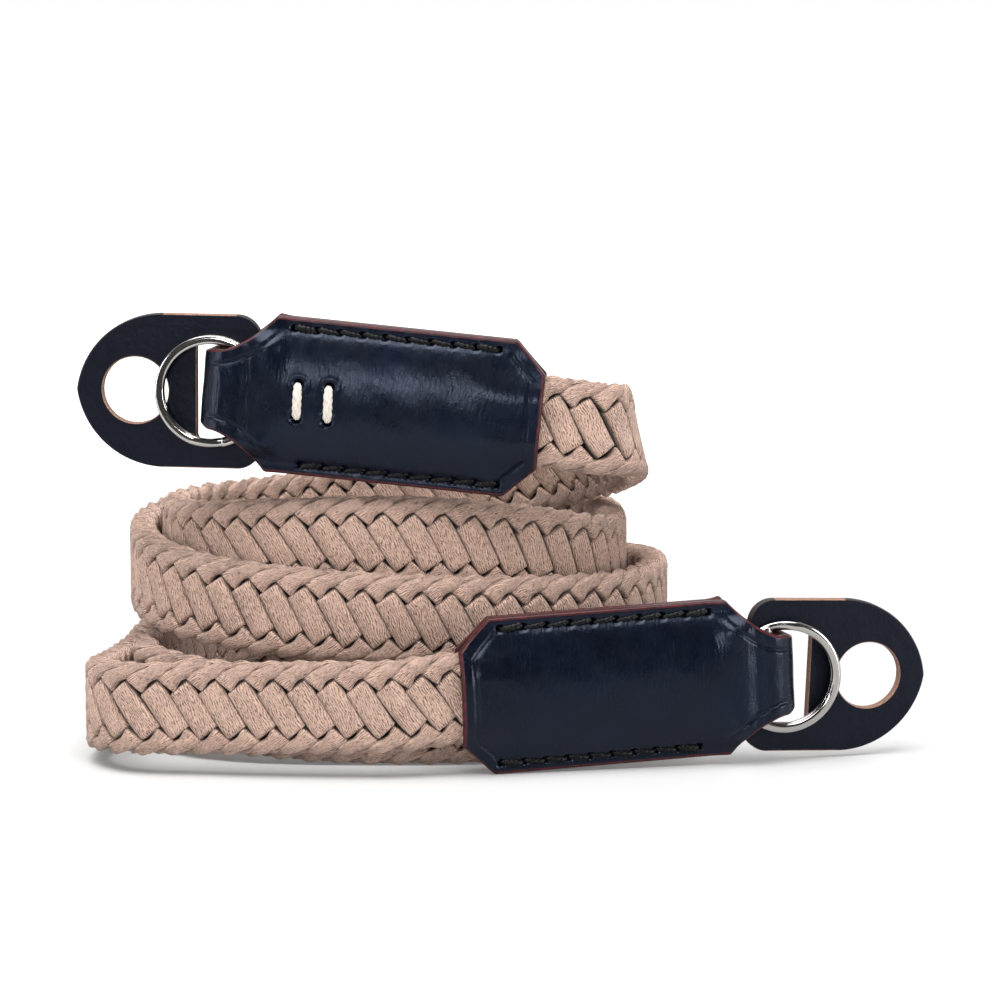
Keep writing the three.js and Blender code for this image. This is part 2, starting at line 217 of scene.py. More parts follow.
# Nickel-plated spring steel: bright mirror turns with faint polishing lines
def steelMaterial():
    settings = {"Metallic": 1.0, "Roughness": 0.13}
    material, tree, shader = newMaterial("nickel_plated_steel", settings)
    shader.inputs["Base Color"].default_value = linearFromHex("#a19e9b")
    lines = noise(tree, scaledUv(tree, "wire", 0.2, 6), 1.0, 2)
    bumped(tree, shader, lines, 0.02, 0.2)
    return material


# A material whose grain gives both its colour and its relief. grain: scale, detail and roughness
# of the noise. relief: distance and strength
def grainedMaterial(name, settings, grain, stops, relief, uv=None):
    material, tree, shader = newMaterial(name, settings)
    place = scaledUv(tree, *uv) if uv else objectMillimetres(tree)
    found = noise(tree, place, *grain)
    coloured(tree, shader, found, stops)
    bumped(tree, shader, found, *relief)
    return material


materials = {
    "braid": braidMaterial(),
    "tabLeather": tabLeatherMaterial(),
    # Painted cut edge of the tabs: burgundy lacquer, smooth and slightly glossy
    "edgePaint": grainedMaterial(
        "burgundy_edge_paint", {"Roughness": 0.4, "Specular IOR Level": 0.25}, (1.3, 3),
        [(0.35, "#22090d"), (0.7, "#451217")], (0.08, 0.3),
    ),
    # Flesh side of the leather, seen inside the loops: reddish brown and fibrous
    "flesh": grainedMaterial(
        "leather_flesh_side", {"Roughness": 0.85}, (2.2, 4, 0.7),
        [(0.3, "#2b130f"), (0.7, "#5b2f22")], (0.15, 0.6),
    ),
    "guardLeather": guardLeatherMaterial(),
    # Raw cut through the guard's leather: tan brown with loose fibres
    "cutLeather": grainedMaterial(
        "cut_leather", {"Roughness": 0.9}, (4.0, 4, 0.75),
        [(0.3, "#4a3026"), (0.7, "#a88570")], (0.3, 0.8),
    ),
    # Dyed and burnished outer edge of the guard: dark brown
    "burnished": grainedMaterial(
        "burnished_edge", {"Roughness": 0.6}, (2.5, 4, 0.7),
        [(0.3, "#080505"), (0.7, "#1a100e")], (0.2, 0.6),
    ),
    "steel": steelMaterial(),
    # Waxed thread of the saddle stitches: black, twisted, with small waxy glints
    "blackThread": grainedMaterial(
        "black_waxed_thread", {"Roughness": 0.3, "Specular IOR Level": 0.16}, (1.0, 3, 0.6),
        [(0.3, "#010101"), (0.75, "#07070a")], (0.1, 0.6), ("thread", 1.2, 6),
    ),
    # Unwaxed cream linen thread of the two cross stitches: matt, with its plies showing
    "creamThread": grainedMaterial(
        "cream_linen_thread", {"Roughness": 0.85}, (1.0, 3, 0.6),
        [(0.3, "#a3988c"), (0.75, "#e2dbd1")], (0.12, 0.6), ("thread", 1.0, 7),
    ),
}
print("materials made")


# Meshes


def linked(name, data):
    made = bpy.data.objects.new(name, data)
    bpy.context.scene.collection.objects.link(made)
    return made


def makeObject(name, points, faces, uvs, materialNames, faceMaterials=None):
    mesh = bpy.data.meshes.new(name)
    points = np.asarray(points, dtype=np.float64) * mm
    faces = np.asarray(faces, dtype=np.int32)
    mesh.vertices.add(len(points))
    mesh.vertices.foreach_set("co", points.ravel())
    mesh.loops.add(faces.size)
    mesh.loops.foreach_set("vertex_index", faces.ravel())
    mesh.polygons.add(len(faces))
    loopStarts = np.arange(0, faces.size, faces.shape[1], dtype=np.int32)
    mesh.polygons.foreach_set("loop_start", loopStarts)
    mesh.update(calc_edges=True)
    for uvName, values in uvs.items():
        layer = mesh.uv_layers.new(name=uvName)
        layer.data.foreach_set("uv", np.asarray(values, dtype=np.float32).ravel())
    for key in materialNames:
        mesh.materials.append(materials[key])
    if faceMaterials is not None:
        mesh.polygons.foreach_set("material_index", np.asarray(faceMaterials, dtype=np.int32))
    mesh.polygons.foreach_set("use_smooth", np.ones(len(faces), dtype=bool))
    mesh.validate()
    return linked(name, mesh)


# Faces of a tube with open ends, through rings of points with so many sides
def tubeFaces(ringCount, sides, start=0):
    ring = np.arange(ringCount - 1)[:, None] * sides
    side = np.arange(sides)[None, :]
    following = (side + 1) % sides
    a = start + ring + side
    b = start + ring + following
    return np.stack([a, b, b + sides, a + sides], axis=-1).reshape(-1, 4)


# The tube's UVs: across for each of its points, the way to each ring, and acrossTotal, the way
# once round, which closes the last side
def tubeUv(across, run, acrossTotal):
    along = np.tile(run[:, None], (1, across.shape[1]))
    following = np.roll(across, -1, axis=1)
    following[:, -1] += acrossTotal
    left = np.stack([across, along], axis=-1)
    right = np.stack([following, np.roll(along, -1, axis=1)], axis=-1)
    quads = np.stack([left[:-1], right[:-1], right[1:], left[1:]], axis=2)
    return quads.reshape(-1, 2)


# The way to each point of a path
def wayAlong(path):
    return np.concatenate([[0], np.cumsum(np.linalg.norm(np.diff(path, axis=0), axis=1))])


zAxis = np.array([0, 0, 1.0])


def unit(vectors):
    return vectors / np.maximum(np.linalg.norm(vectors, axis=-1, keepdims=True), 1e-9)


# The band's route, as the CAD source has it

band = dict(
    width=14.5, halfLength=42.5, halfDepth=34, fullness=0.035, layerPitch=5.1,
    stationsPerQuarter=9, pocketDepth=39.4, hiddenInPocket=33,
)

# turn: quarter turns from the front. inset: layers inward. height: in band widths.
# lean: degrees inward at the top
coilTable = [
    (0.444, -0.95, 3.66, 3), (0.6, -0.2, 3.54, 12), (0.72, 0.6, 3.39, 19),
    (1, 1.5, 3.12, 24), (1.33, 1.9, 2.86, 11), (1.67, 2.15, 2.6, 0),
    (2, 2.0, 2.3, 0), (2.5, 1.4, 2.06, 0), (3, 1.06, 2.1, 0), (4, 1.15, 2.38, 0),
    (5, 1.34, 1.9, 0), (5.5, 0.7, 1.9, 0), (6, 0.3, 1.95, 0), (7, 0, 1.86, 0),
    (8, 0.05, 1.58, 0), (9, 0, 1.4, 0), (10, -0.6, 1.0, 0), (10.5, 0.65, 0.79, 0),
    (10.75, 1.0, 0.75, 0), (11, 0.85, 0.72, 0), (11.2, 0.35, 0.69, 0),
    (11.39, -0.7, 0.65, 0), (11.6, -0.65, 0.6, 0), (12, -0.3, 0.5, 0),
    (12.5, -0.6, 0.5, 0), (13, -1.1, 0.5, 0), (14, -1.75, 0.5, 0),
    (14.5, -0.6, 0.5, 0), (15, -0.2, 0.5, 0), (15.2, -0.85, 0.52, 0),
    (15.33, -1.75, 0.57, 0), (15.42, -2.7, 0.63, 0), (15.5, -3.35, 0.68, 0),
    (15.56, -3.35, 0.7, 0), (15.61, -3.1, 0.72, 0), (15.72, -2.6, 0.74, 0),
    (16, -2.3, 0.78, 0),
]
coil = dict(zip(("turn", "inset", "height", "lean"), zip(*coilTable)))

tab = dict(
    length=54, width=25, chamfer=5, leather=1.4, shoulderLength=11, shoulderCurve=1.7,
    faceSeamWidth=1.6, faceCrown=5.6, domePower=2.2, domeFrom=2, domeUntil=14, neckStraight=2,
    neckWidth=12.9, pocketHalf=2.6, loopHalf=2.8, loopStart=41.8, loopLead=1.6, loopRamp=2.6,
    foldRounding=1.5, foldTaper=0.5,
)
# The loop's front corners, where nothing fills it: how much of the height is left out there
loopSag = dict(share=0.75, yFrom=7.2, yUntil=10.4, xFrom=44, xUntil=49)

# x in half lengths and y in half depths of the coil, bed in band widths, turns and droop in
# degrees. slide: how far the guard has slid out through its loop
ends = {
    "upper": dict(x=0.55, y=-0.945, bed=2.925, heading=176, climb=5.5),
    "lower": dict(x=0.244, y=-1.29, bed=0, heading=11, climb=2.4),
}
ends["upper"].update(ringTurn=1, guardTurn=2.4, droop=5, slide=0)
ends["lower"].update(ringTurn=2, guardTurn=2.8, droop=5, slide=1.8)


# A column's value at a turn, on a smooth curve that doesn't overshoot its rows
def alongColumn(name, turn):
    turns, values = coil["turn"], coil[name]
    last = len(turns) - 1

    def grade(i):
        return (values[i + 1] - values[i]) / (turns[i + 1] - turns[i])

    def slope(i):
        if i == 0 or i == last or grade(i - 1) * grade(i) <= 0:
            return 0
        return 2 * grade(i - 1) * grade(i) / (grade(i - 1) + grade(i))

    past = next((i for i, at in enumerate(turns) if at > turn), last)
    i = min(max(past - 1, 0), last - 1)
    run = turns[i + 1] - turns[i]
    t = (turn - turns[i]) / run
    ease = t * t * (3 - 2 * t)
    bend = t * (1 - t) * run * ((1 - t) * slope(i) - t * slope(i + 1))
    return values[i] + (values[i + 1] - values[i]) * ease + bend


def coilStation(turn):
    angle = (turn - 1) * math.pi / 2
    inset = alongColumn("inset", turn) * band["layerPitch"]
    full = band["fullness"]
    x = (band["halfLength"] - inset) * (math.cos(angle) - full * math.cos(3 * angle)) / (1 - full)
    y = (band["halfDepth"] - inset) * (math.sin(angle) + full * math.sin(3 * angle)) / (1 - full)
    return Vector((x, y, alongColumn("height", turn) * band["width"])), alongColumn("lean", turn)


def endPlacement(end):
    heading, climb = math.radians(end["heading"]), math.radians(end["climb"])
    along = Vector(
        (math.cos(heading) * math.cos(climb), math.sin(heading) * math.cos(climb), math.sin(climb))
    )
    facing = along.cross(Vector((0, 0, 1))).normalized()
    if facing.y > 0:
        facing.negate()
    across = facing.cross(along)
    rest = tab["width"] / 2 * math.cos(climb) - tab["chamfer"] * math.sin(climb)
    x, y = end["x"] * band["halfLength"], end["y"] * band["halfDepth"]
    mouth = Vector((x, y, end["bed"] * band["width"] + rest))
    return mouth, along, facing, across


# The route's stations in a tab's pocket, from its bottom to just before its mouth
def pocketStations(end):
    mouth, along, _, _ = endPlacement(end)
    shares = (1, 0.66, 0.33, 0.12, 0, -0.06)
    return [(mouth + along * share * band["pocketDepth"], 0) for share in shares]


def bandStations():
    first, span = coil["turn"][0], coil["turn"][-1] - coil["turn"][0]
    steps = math.ceil(span * band["stationsPerQuarter"])
    turned = [coilStation(first + span * i / steps) for i in range(steps + 1)]
    return [*pocketStations(ends["upper"]), *turned, *reversed(pocketStations(ends["lower"]))]


# Points along a smooth curve through the stations, each with its lean
def curveThrough(stations, perSpan=24):
    places = [np.array(point) for point, _ in stations]
    leans = [lean for _, lean in stations]
    places = [2 * places[0] - places[1], *places, 2 * places[-1] - places[-2]]
    points, tilts = [], []
    for i in range(1, len(places) - 2):
        p0, p1, p2, p3 = places[i - 1 : i + 3]
        d0, d1, d2 = (math.sqrt(np.linalg.norm(b - a)) for a, b in ((p0, p1), (p1, p2), (p2, p3)))
        t1 = ((p1 - p0) / d0 - (p2 - p0) / (d0 + d1) + (p2 - p1) / d1) * d1
        t2 = ((p2 - p1) / d1 - (p3 - p1) / (d1 + d2) + (p3 - p2) / d2) * d1
        for step in range(perSpan):
            t = step / perSpan
            points.append(
                p1
                + t1 * t
                + (3 * (p2 - p1) - 2 * t1 - t2) * t**2
                + (2 * (p1 - p2) + t1 + t2) * t**3
            )
            tilts.append(leans[i - 1] + (leans[i] - leans[i - 1]) * t)
    points.append(places[-2])
    tilts.append(leans[-1])
    return np.array(points), np.array(tilts)


# Evens out a run of values sampled at equal steps
def smoothed(values, spread):
    reach = int(spread * 3)
    weights = np.exp(-0.5 * (np.arange(-reach, reach + 1) / spread) ** 2)
    weights /= weights.sum()
    flat = values.reshape(len(values), -1)
    padded = np.pad(flat, ((reach, reach), (0, 0)), mode="reflect", reflect_type="odd")
    evened = [np.convolve(padded[:, i], weights, mode="valid") for i in range(flat.shape[1])]
    return np.stack(evened, axis=1).reshape(values.shape)


routePoints, routeLeans = curveThrough(bandStations())
routeAt = wayAlong(routePoints)
routeLength = routeAt[-1]
routeStep, pathSpread, leanSpread = 0.25, 1.2, 4
evenAt = np.arange(0, routeLength, routeStep)
evenPoints = np.stack([np.interp(evenAt, routeAt, routePoints[:, i]) for i in range(3)], axis=1)
evenPoints = smoothed(evenPoints, pathSpread / routeStep)
evenLeans = smoothed(np.interp(evenAt, routeAt, routeLeans), leanSpread / routeStep)
evenPoints += np.array(strapShift)
evenAlong = unit(np.gradient(evenPoints, axis=0))
evenOut = unit(np.cross(evenAlong, zAxis))
tilt = np.radians(evenLeans)[:, None]
evenOut = evenOut * np.cos(tilt) - np.cross(evenAlong, evenOut) * np.sin(tilt)
evenUp = np.cross(evenOut, evenAlong)
print(f"route {routeLength:.0f} mm")


def onRoute(values, at):
    return np.stack([np.interp(at, evenAt, values[:, i]) for i in range(3)], axis=1)


# Slow wandering between -1 and 1 along a length, different each time
def wander(at, scale):
    knots = np.arange(at[0] - scale, at[-1] + 2 * scale, scale)
    values = smoothed(noiseDraws.uniform(-1, 1, len(knots)), 0.8)
    return np.interp(at, knots, values)


braid = dict(
    strands=7, period=32.2, sway=6.12, corner=-0.1, layer=1.14, halfWidth=2.42, narrowest=1.12,
    halfThickness=1.14, thinning=0.08, thinFrom=20, thinUntil=62, rimTurn=20, rollTurn=38,
    crossing=63.2, dive=2.6, sides=((1, 0), (0.955, 0.56), (0.83, 0.85), (0.48, 0.98)),
)
# How far a strand strays from the pattern and over what length, in millimetres, width in shares
strays = dict(along=(0.1, 9), up=(0.05, 7), out=(0.04, 6), width=(0.03, 5))
# Where the relief map counts as full height, with no painted shade: on the faces and, with a
# power, at the braid's edges
relief = dict(face=0.99, edge=7.1, edgePower=4)
# Shares and shifts of the yarn pattern, so that it keeps its scale and no two strands look alike
yarnMap = dict(usualWidth=0.84, strandShift=31.7)
# Where a strand is sampled in each sixth of its full sway, in degrees. The samples lie closest
# where a strand dives from one side of the braid to the other
sixth = 60
samplesPerSixth = (0, 1.9, 3.2, 4.5, 5.8, 9, 14, 22, 30, 38, 46, 51, 54.2, 55.5, 56.8, 58.1)


def stray(name, at):
    amount, scale = strays[name]
    return amount * wander(at, scale)


# Nearly flat faces with rounded edges, in half widths and half thicknesses
def strandSection():
    right = list(braid["sides"])
    left = [(-x, y) for x, y in reversed(right)]
    below = [(x, -y) for x, y in reversed((right + left)[1:-1])]
    return np.array(right + left + below)


# Seven flattened strands, each swaying from edge to edge, by turns over two and under two others.
# On its way back a strand shows the braid's other side, so it rolls over at each edge
def makeStrand(number):
    start, stop = band["hiddenInPocket"], routeLength - band["hiddenInPocket"]
    offset = 360 * number / braid["strands"]
    first, last = (360 * end / braid["period"] + offset for end in (start, stop))
    lead = math.floor(first / sixth)
    sixths = range(lead, lead + math.ceil((last - first) / sixth) + 2)
    degrees = np.array([sixth * i + step for i in sixths for step in samplesPerSixth])
    degrees = degrees[(degrees > first) & (degrees < last)]
    regular = (degrees - offset) * braid["period"] / 360
    at = regular + stray("along", regular)
    turned = np.radians(degrees)
    corner = braid["corner"]
    sway = -(np.cos(turned) + corner * np.cos(3 * turned)) / (1 + corner) * braid["sway"]
    fromRim = np.degrees(np.arcsin(np.minimum(np.abs(np.sin(turned)), 1)))
    crossing, dive = braid["crossing"], braid["dive"]
    under = smoothstep(fromRim, crossing - dive, crossing + dive)
    side = np.sign(np.sin(turned)) * smoothstep(fromRim, 0, braid["rimTurn"])
    lift = braid["layer"] * side * (1 - 2 * under)
    nearest = np.round(degrees / 180)
    rolled = smoothstep(degrees - 180 * nearest, -braid["rollTurn"], braid["rollTurn"])
    roll = math.pi * (nearest - 1 + rolled)
    outward, upward = onRoute(evenOut, at), onRoute(evenUp, at)
    level = onRoute(evenPoints, at) + upward * (sway + stray("up", at))[:, None]
    along = unit(np.gradient(level, axis=0))
    centre = level + outward * (lift + stray("out", at))[:, None]
    normal = outward * np.cos(roll)[:, None] + upward * np.sin(roll)[:, None]
    normal = unit(normal - along * (normal * along).sum(1, keepdims=True))
    across = np.cross(along, normal)
    steepness = np.abs((along * upward).sum(1))
    halfWidth = np.maximum(braid["narrowest"], braid["halfWidth"] * steepness)
    halfWidth = halfWidth * (1 + stray("width", at))
    thinned = 1 - smoothstep(fromRim, braid["thinFrom"], braid["thinUntil"])
    halfThick = braid["halfThickness"] * (1 - braid["thinning"] * thinned)
    section = strandSection()
    rings = (
        centre[:, None]
        + across[:, None] * (halfWidth[:, None] * section[:, 0])[..., None]
        + normal[:, None] * (halfThick[:, None] * section[:, 1])[..., None]
    )
    count, sides = rings.shape[:2]
    run = wayAlong(level)
    usual = section * (braid["halfWidth"] * yarnMap["usualWidth"], braid["halfThickness"])
    stretches = np.hypot(*(np.roll(usual, -1, axis=0) - usual).T)
    places = np.cumsum(stretches) - stretches + number * yarnMap["strandShift"]
    around = np.tile(places, (count, 1))
    strandUv = tubeUv(around, run, stretches.sum())
    # How deep each point lies in the braid, for the material's painted shade; near the braid's
    # edges it counts as full height
    middle = onRoute(evenPoints, at)[:, None]
    depth = np.abs(((rings - middle) * outward[:, None]).sum(-1))
    height = np.abs(((rings - middle) * upward[:, None]).sum(-1))
    surface = braid["layer"] + halfThick[:, None] * relief["face"]
    rise = np.maximum(depth / surface, (height / relief["edge"]) ** relief["edgePower"])
    made = makeObject(
        f"cotton_strand_{number + 1}",
        rings.reshape(-1, 3),
        tubeFaces(count, sides),
        {"strand": strandUv, "relief": tubeUv(rise, run, 0)},
        ["braid"],
    )
    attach(made, "root")
    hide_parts("braided_band")


for number in range(braid["strands"]):
    makeStrand(number)
print("braid made")


# Tabs


def tabHalfWidth(x):
    full, neck = tab["width"] / 2, tab["neckWidth"] / 2
    run = tab["shoulderLength"] - tab["neckStraight"]
    shoulder = np.clip((tab["length"] - tab["neckStraight"] - x) / run, 0, 1)
    body = neck + (full - neck) * shoulder ** tab["shoulderCurve"]
    rounded = tab["foldTaper"] * smoothstep(x, tab["length"] - tab["foldRounding"], tab["length"])
    return np.minimum(body, full - tab["chamfer"] + np.maximum(x, 0)) - rounded


# How far the leather stands off the tab's middle plane, from 0 at the sewn margins to 1 over the
# band. At the mouth it lies close to the band, and further in it domes from seam to seam
def parting(x, y, front):
    seam = tab["width"] / 2 - tab["faceSeamWidth"]
    atMouth = 1 - smoothstep(np.abs(y), tab["faceCrown"] / 2, seam)
    domed = 1 - np.clip(np.abs(y) / seam, 0, 1) ** tab["domePower"]
    overBand = atMouth + (domed - atMouth) * smoothstep(x, tab["domeFrom"], tab["domeUntil"])
    loopStart = tab["loopStart"]
    inLoop = smoothstep(x, loopStart - tab["loopLead"], loopStart + tab["loopRamp"])
    outside = smoothstep(np.abs(y), loopSag["yFrom"], loopSag["yUntil"])
    corner = outside * (1 - smoothstep(x, loopSag["xFrom"], loopSag["xUntil"]))
    sagging = inLoop * (1 - loopSag["share"] * corner * front)
    return overBand + (1 - overBand) * sagging


# The tab's outline on one side of its middle line, from the mouth to the fold
def outlinePoints():
    sideSteps, mouthSteps = 400, 40
    along = np.linspace(0, tab["length"], sideSteps)
    half = tabHalfWidth(along)
    sideEdge = np.stack([along, half], axis=1)
    mouthHalf = tab["width"] / 2 - tab["chamfer"]
    mouthEdge = np.stack([np.zeros(mouthSteps), np.linspace(0, mouthHalf, mouthSteps)], axis=1)
    return np.concatenate([mouthEdge, sideEdge])


outline = outlinePoints()
crease = dict(
    inset=2.2, width=0.26, depth=0.36, mouthUntil=4.2, mouthFade=1.2, shoulderFrom=43.5,
    shoulderFade=1.5, foldFrom=51.5, foldUntil=53.5,
)
stitch = dict(
    pitch=3.55, row=10.75, holeRadius=0.5, holeDepth=1.0, threadRadius=0.43, slant=0.28,
    grooveWidth=0.75, grooveDepth=0.16, rowFade=1.2, rimHeight=0.05, rimAt=0.85, rimWidth=0.25,
    doubled=1.35, spread=(0.93, 1.07), inHole=0.1, arc=0.42, wide=1.15, high=0.9, plies=2,
    twist=1.5, lobes=0.34,
)
# Where each row of stitches starts and ends, in millimetres from the mouth.
# side is 1 for the row at the top
stitchRows = {
    "upper": [dict(side=1, start=6.1, end=37.4), dict(side=-1, start=7.7, end=40.2)],
    "lower": [dict(side=1, start=6.7, end=40.2), dict(side=-1, start=6.1, end=38.0)],
}
cross = dict(
    places=(33.6, 38.5), halfLength=2.85, radius=0.75, height=0.42, above=0.4, lean=0.12,
    sunk=0.12, arc=0.5, steps=40, plies=3, twist=3.4, lobes=0.16, holeStretch=0.85,
    holeRadius=0.7, holeDepth=0.9, rimHeight=0.16, rimAt=1.1, rimWidth=0.35, trenchWidth=0.95,
    trenchDepth=0.12,
)


def distanceToOutline(x, y):
    flat = np.stack([x.ravel(), np.abs(y).ravel()], axis=1)
    best = np.full(len(flat), np.inf)
    where = np.zeros(len(flat))
    for px, py in outline:
        away = np.hypot(flat[:, 0] - px, flat[:, 1] - py)
        closer = away < best
        best = np.where(closer, away, best)
        where = np.where(closer, px, where)
    return best.reshape(x.shape), where.reshape(x.shape)


def stitchHoles(row):
    count = max(2, round((row["end"] - row["start"]) / stitch["pitch"]) + 1)
    places = np.linspace(row["start"], row["end"], count)
    return [(x, row["side"] * stitch["row"]) for x in places]


# A stitch hole's dent with a raised rim round it, for a place so far from its middle
def holeDent(away, kind):
    dent = kind["holeDepth"] * np.exp(-((away / kind["holeRadius"]) ** 4))
    return dent - kind["rimHeight"] * bump(away, kind["rimAt"], kind["rimWidth"])


# How far the leather's face is pressed in: creases, stitch rows and holes
def pressedIn(x, y, rows, crossed):
    distance, nearestX = distanceToOutline(x, y)
    mouthEnd, shoulder = crease["mouthUntil"], crease["shoulderFrom"]
    shaped = np.maximum(
        1 - smoothstep(nearestX, mouthEnd, mouthEnd + crease["mouthFade"]),
        smoothstep(nearestX, shoulder, shoulder + crease["shoulderFade"])
        * (1 - smoothstep(nearestX, crease["foldFrom"], crease["foldUntil"])),
    )
    pressed = crease["depth"] * bump(distance, crease["inset"], crease["width"]) * shaped
    for row in rows:
        started = smoothstep(x, row["start"] - stitch["rowFade"], row["start"])
        inRow = started * (1 - smoothstep(x, row["end"], row["end"] + stitch["rowFade"]))
        middle = row["side"] * stitch["row"]
        pressed = pressed + stitch["grooveDepth"] * bump(y, middle, stitch["grooveWidth"]) * inRow
        for holeX, holeY in stitchHoles(row):
            pressed = pressed + holeDent(np.hypot(x - holeX, y - holeY), stitch)
    if crossed:
        for holeX in cross["places"]:
            for holeSide in (-1, 1):
                holeY = cross["above"] + holeSide * cross["halfLength"]
                away = np.hypot((x - holeX) * cross["holeStretch"], y - holeY)
                pressed = pressed + holeDent(away, cross)
            trench = bump(x, holeX, cross["trenchWidth"])
            trench = trench * bump(y, cross["above"], cross["halfLength"])
            pressed = pressed + cross["trenchDepth"] * trench
    return pressed


# The tab's mesh: rows and columns lie closest beside its edges. far: beyond every edge's rounding
tabMesh = dict(
    nearEdge=(0, 0.07, 0.17, 0.3, 0.5, 0.75), columnsFrom=1.0, columns=33, rowsFrom=1.05,
    rows=132, foldSteps=26, edgeRadius=0.45, inside=0.01, far=9,
)
# The dip where the leather is pressed together before the fold, and the faces' slight unevenness
valleyShape = dict(depth=0.42, at=47.4, width=1.3, fromFold=1.5)
waverShape = dict(height=0.05, along=0.7, slant=0.4, across=0.55, shift=1.3)


def roundedDrop(distance, radius):
    into = np.clip(radius - distance, 0, radius)
    return radius - np.sqrt(np.maximum(radius**2 - into**2, 0))


# Quads of the strip: its outer face, its inner face and the walls between them
def stripFaces(rows, cols):
    index = np.arange(rows * cols).reshape(rows, cols)
    lower = index + rows * cols
    a, b, c, d = index[:-1, :-1], index[1:, :-1], index[1:, 1:], index[:-1, 1:]
    outerFaces = np.stack([a, b, c, d], axis=-1).reshape(-1, 4)
    a, b, c, d = lower[:-1, :-1], lower[1:, :-1], lower[1:, 1:], lower[:-1, 1:]
    innerFaces = np.stack([a, d, c, b], axis=-1).reshape(-1, 4)
    walls = []
    for column, flip in ((0, False), (cols - 1, True)):
        quad = [index[:-1, column], lower[:-1, column], lower[1:, column], index[1:, column]]
        walls.append(np.stack(quad[::-1] if flip else quad, axis=-1))
    for row, flip in ((0, True), (rows - 1, False)):
        quad = [index[row, :-1], lower[row, :-1], lower[row, 1:], index[row, 1:]]
        walls.append(np.stack(quad[::-1] if flip else quad, axis=-1))
    return outerFaces, innerFaces, np.concatenate(walls)


# One strip of leather from the front mouth round the fold to the back mouth
def makeTab(name, end, stitchedFace):
    leather = tab["leather"]
    foldCentre = tab["length"] - tab["loopHalf"] - leather
    flatSteps = np.linspace(tabMesh["rowsFrom"], foldCentre, tabMesh["rows"])
    flatRows = [*tabMesh["nearEdge"], *flatSteps]
    foldSteps = tabMesh["foldSteps"]
    foldRows = [math.pi * i / foldSteps for i in range(1, foldSteps)]
    xs = np.array([*flatRows, *[foldCentre] * len(foldRows), *reversed(flatRows)])
    turns = np.array([*[0] * len(flatRows), *foldRows, *[math.pi] * len(flatRows)])
    fullHalf = tab["width"] / 2
    inner = np.linspace(tabMesh["columnsFrom"], fullHalf, tabMesh["columns"])
    side = np.array([*tabMesh["nearEdge"], *inner]) / fullHalf
    columns = np.concatenate([-(1 - side), (1 - side[::-1])[1:]])
    half = tab["pocketHalf"] + (tab["loopHalf"] - tab["pocketHalf"]) * smoothstep(
        xs, band["pocketDepth"], tab["loopStart"] + tab["loopRamp"] / 2
    )
    reach = xs + (half + leather) * np.sin(turns)
    halfWidths = tabHalfWidth(reach)
    y = columns[None, :] * halfWidths[:, None]
    xGrid, reachGrid, turnGrid, halfGrid = (
        np.broadcast_to(values[:, None], y.shape) for values in (xs, reach, turns, half)
    )
    front = turnGrid < math.pi / 2
    openness = parting(xGrid, y, front)
    pressed = np.where(
        front,
        pressedIn(reachGrid, y, stitchRows[name], stitchedFace > 0),
        pressedIn(reachGrid, y, stitchRows[name], stitchedFace < 0),
    )
    far, radius = tabMesh["far"], tabMesh["edgeRadius"]
    edgeDistance = np.minimum((1 - np.abs(columns))[None, :] * halfWidths[:, None], far)
    mouthDistance = np.where(turnGrid == 0, xGrid, np.where(turnGrid >= math.pi, xGrid, far))
    drop = roundedDrop(edgeDistance, radius) + roundedDrop(mouthDistance, radius)
    flat = np.abs(turnGrid - math.pi / 2) > valleyShape["fromFold"]
    valley = valleyShape["depth"] * bump(xGrid, valleyShape["at"], valleyShape["width"]) * flat
    alongWave = np.sin(reachGrid * waverShape["along"] + y * waverShape["slant"])
    acrossWave = np.sin(y * waverShape["across"] + waverShape["shift"])
    waver = waverShape["height"] * alongWave * acrossWave
    outerRise = halfGrid * openness + leather - pressed - drop - valley + waver * openness
    innerRise = halfGrid * openness + tabMesh["inside"]
    layers = [
        np.stack([xGrid + rise * np.sin(turnGrid), y, rise * np.cos(turnGrid)], axis=-1)
        for rise in (outerRise, innerRise)
    ]
    local = np.concatenate(layers).reshape(-1, 3)
    outerFaces, innerFaces, wallFaces = stripFaces(*y.shape)
    faces = np.concatenate([outerFaces, innerFaces, wallFaces])
    painted = edgePainted(edgeDistance, mouthDistance)
    faceMaterials = np.concatenate(
        [painted, np.full(len(innerFaces), 2), np.full(len(wallFaces), 1)]
    )
    steps = np.hypot(np.diff(reach), np.diff((half + leather) * np.cos(turns)))
    strip = np.concatenate([[0], np.cumsum(steps)])
    uvPoint = np.stack([y, np.broadcast_to(strip[:, None], y.shape)], axis=-1).reshape(-1, 2)
    uvPoint = np.concatenate([uvPoint, uvPoint])
    mouth, along, facing, across = endPlacement(end)
    turn = np.array([along, across, facing])
    origin = np.array(mouth + strapShift)
    made = makeObject(
        f"{name}_leather_tab",
        local @ turn + origin,
        faces,
        {"leather": uvPoint[faces.ravel()]},
        ["tabLeather", "edgePaint", "flesh"],
        faceMaterials,
    )
    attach(made, "root")
    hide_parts(f"{name}_end_tab")
    makeStitches(name, stitchedFace, turn, origin)


# The edge's paint covers the outer face as far as its edge is rounded
def edgePainted(edgeDistance, mouthDistance):
    nearest = np.minimum(edgeDistance, mouthDistance)
    middle = (nearest[:-1, :-1] + nearest[1:, 1:]) / 2
    return np.where(middle < tabMesh["edgeRadius"], 1, 0).reshape(-1)


# sides: of a thread's section. ends: its share of the full size there, and how fast it grows.
# sunk, arcPower: how deep it goes into the holes, and how steeply it comes out of them
thread = dict(sides=14, steps=18, ends=(0.5, 1.6), sunk=0.35, arcPower=0.6)


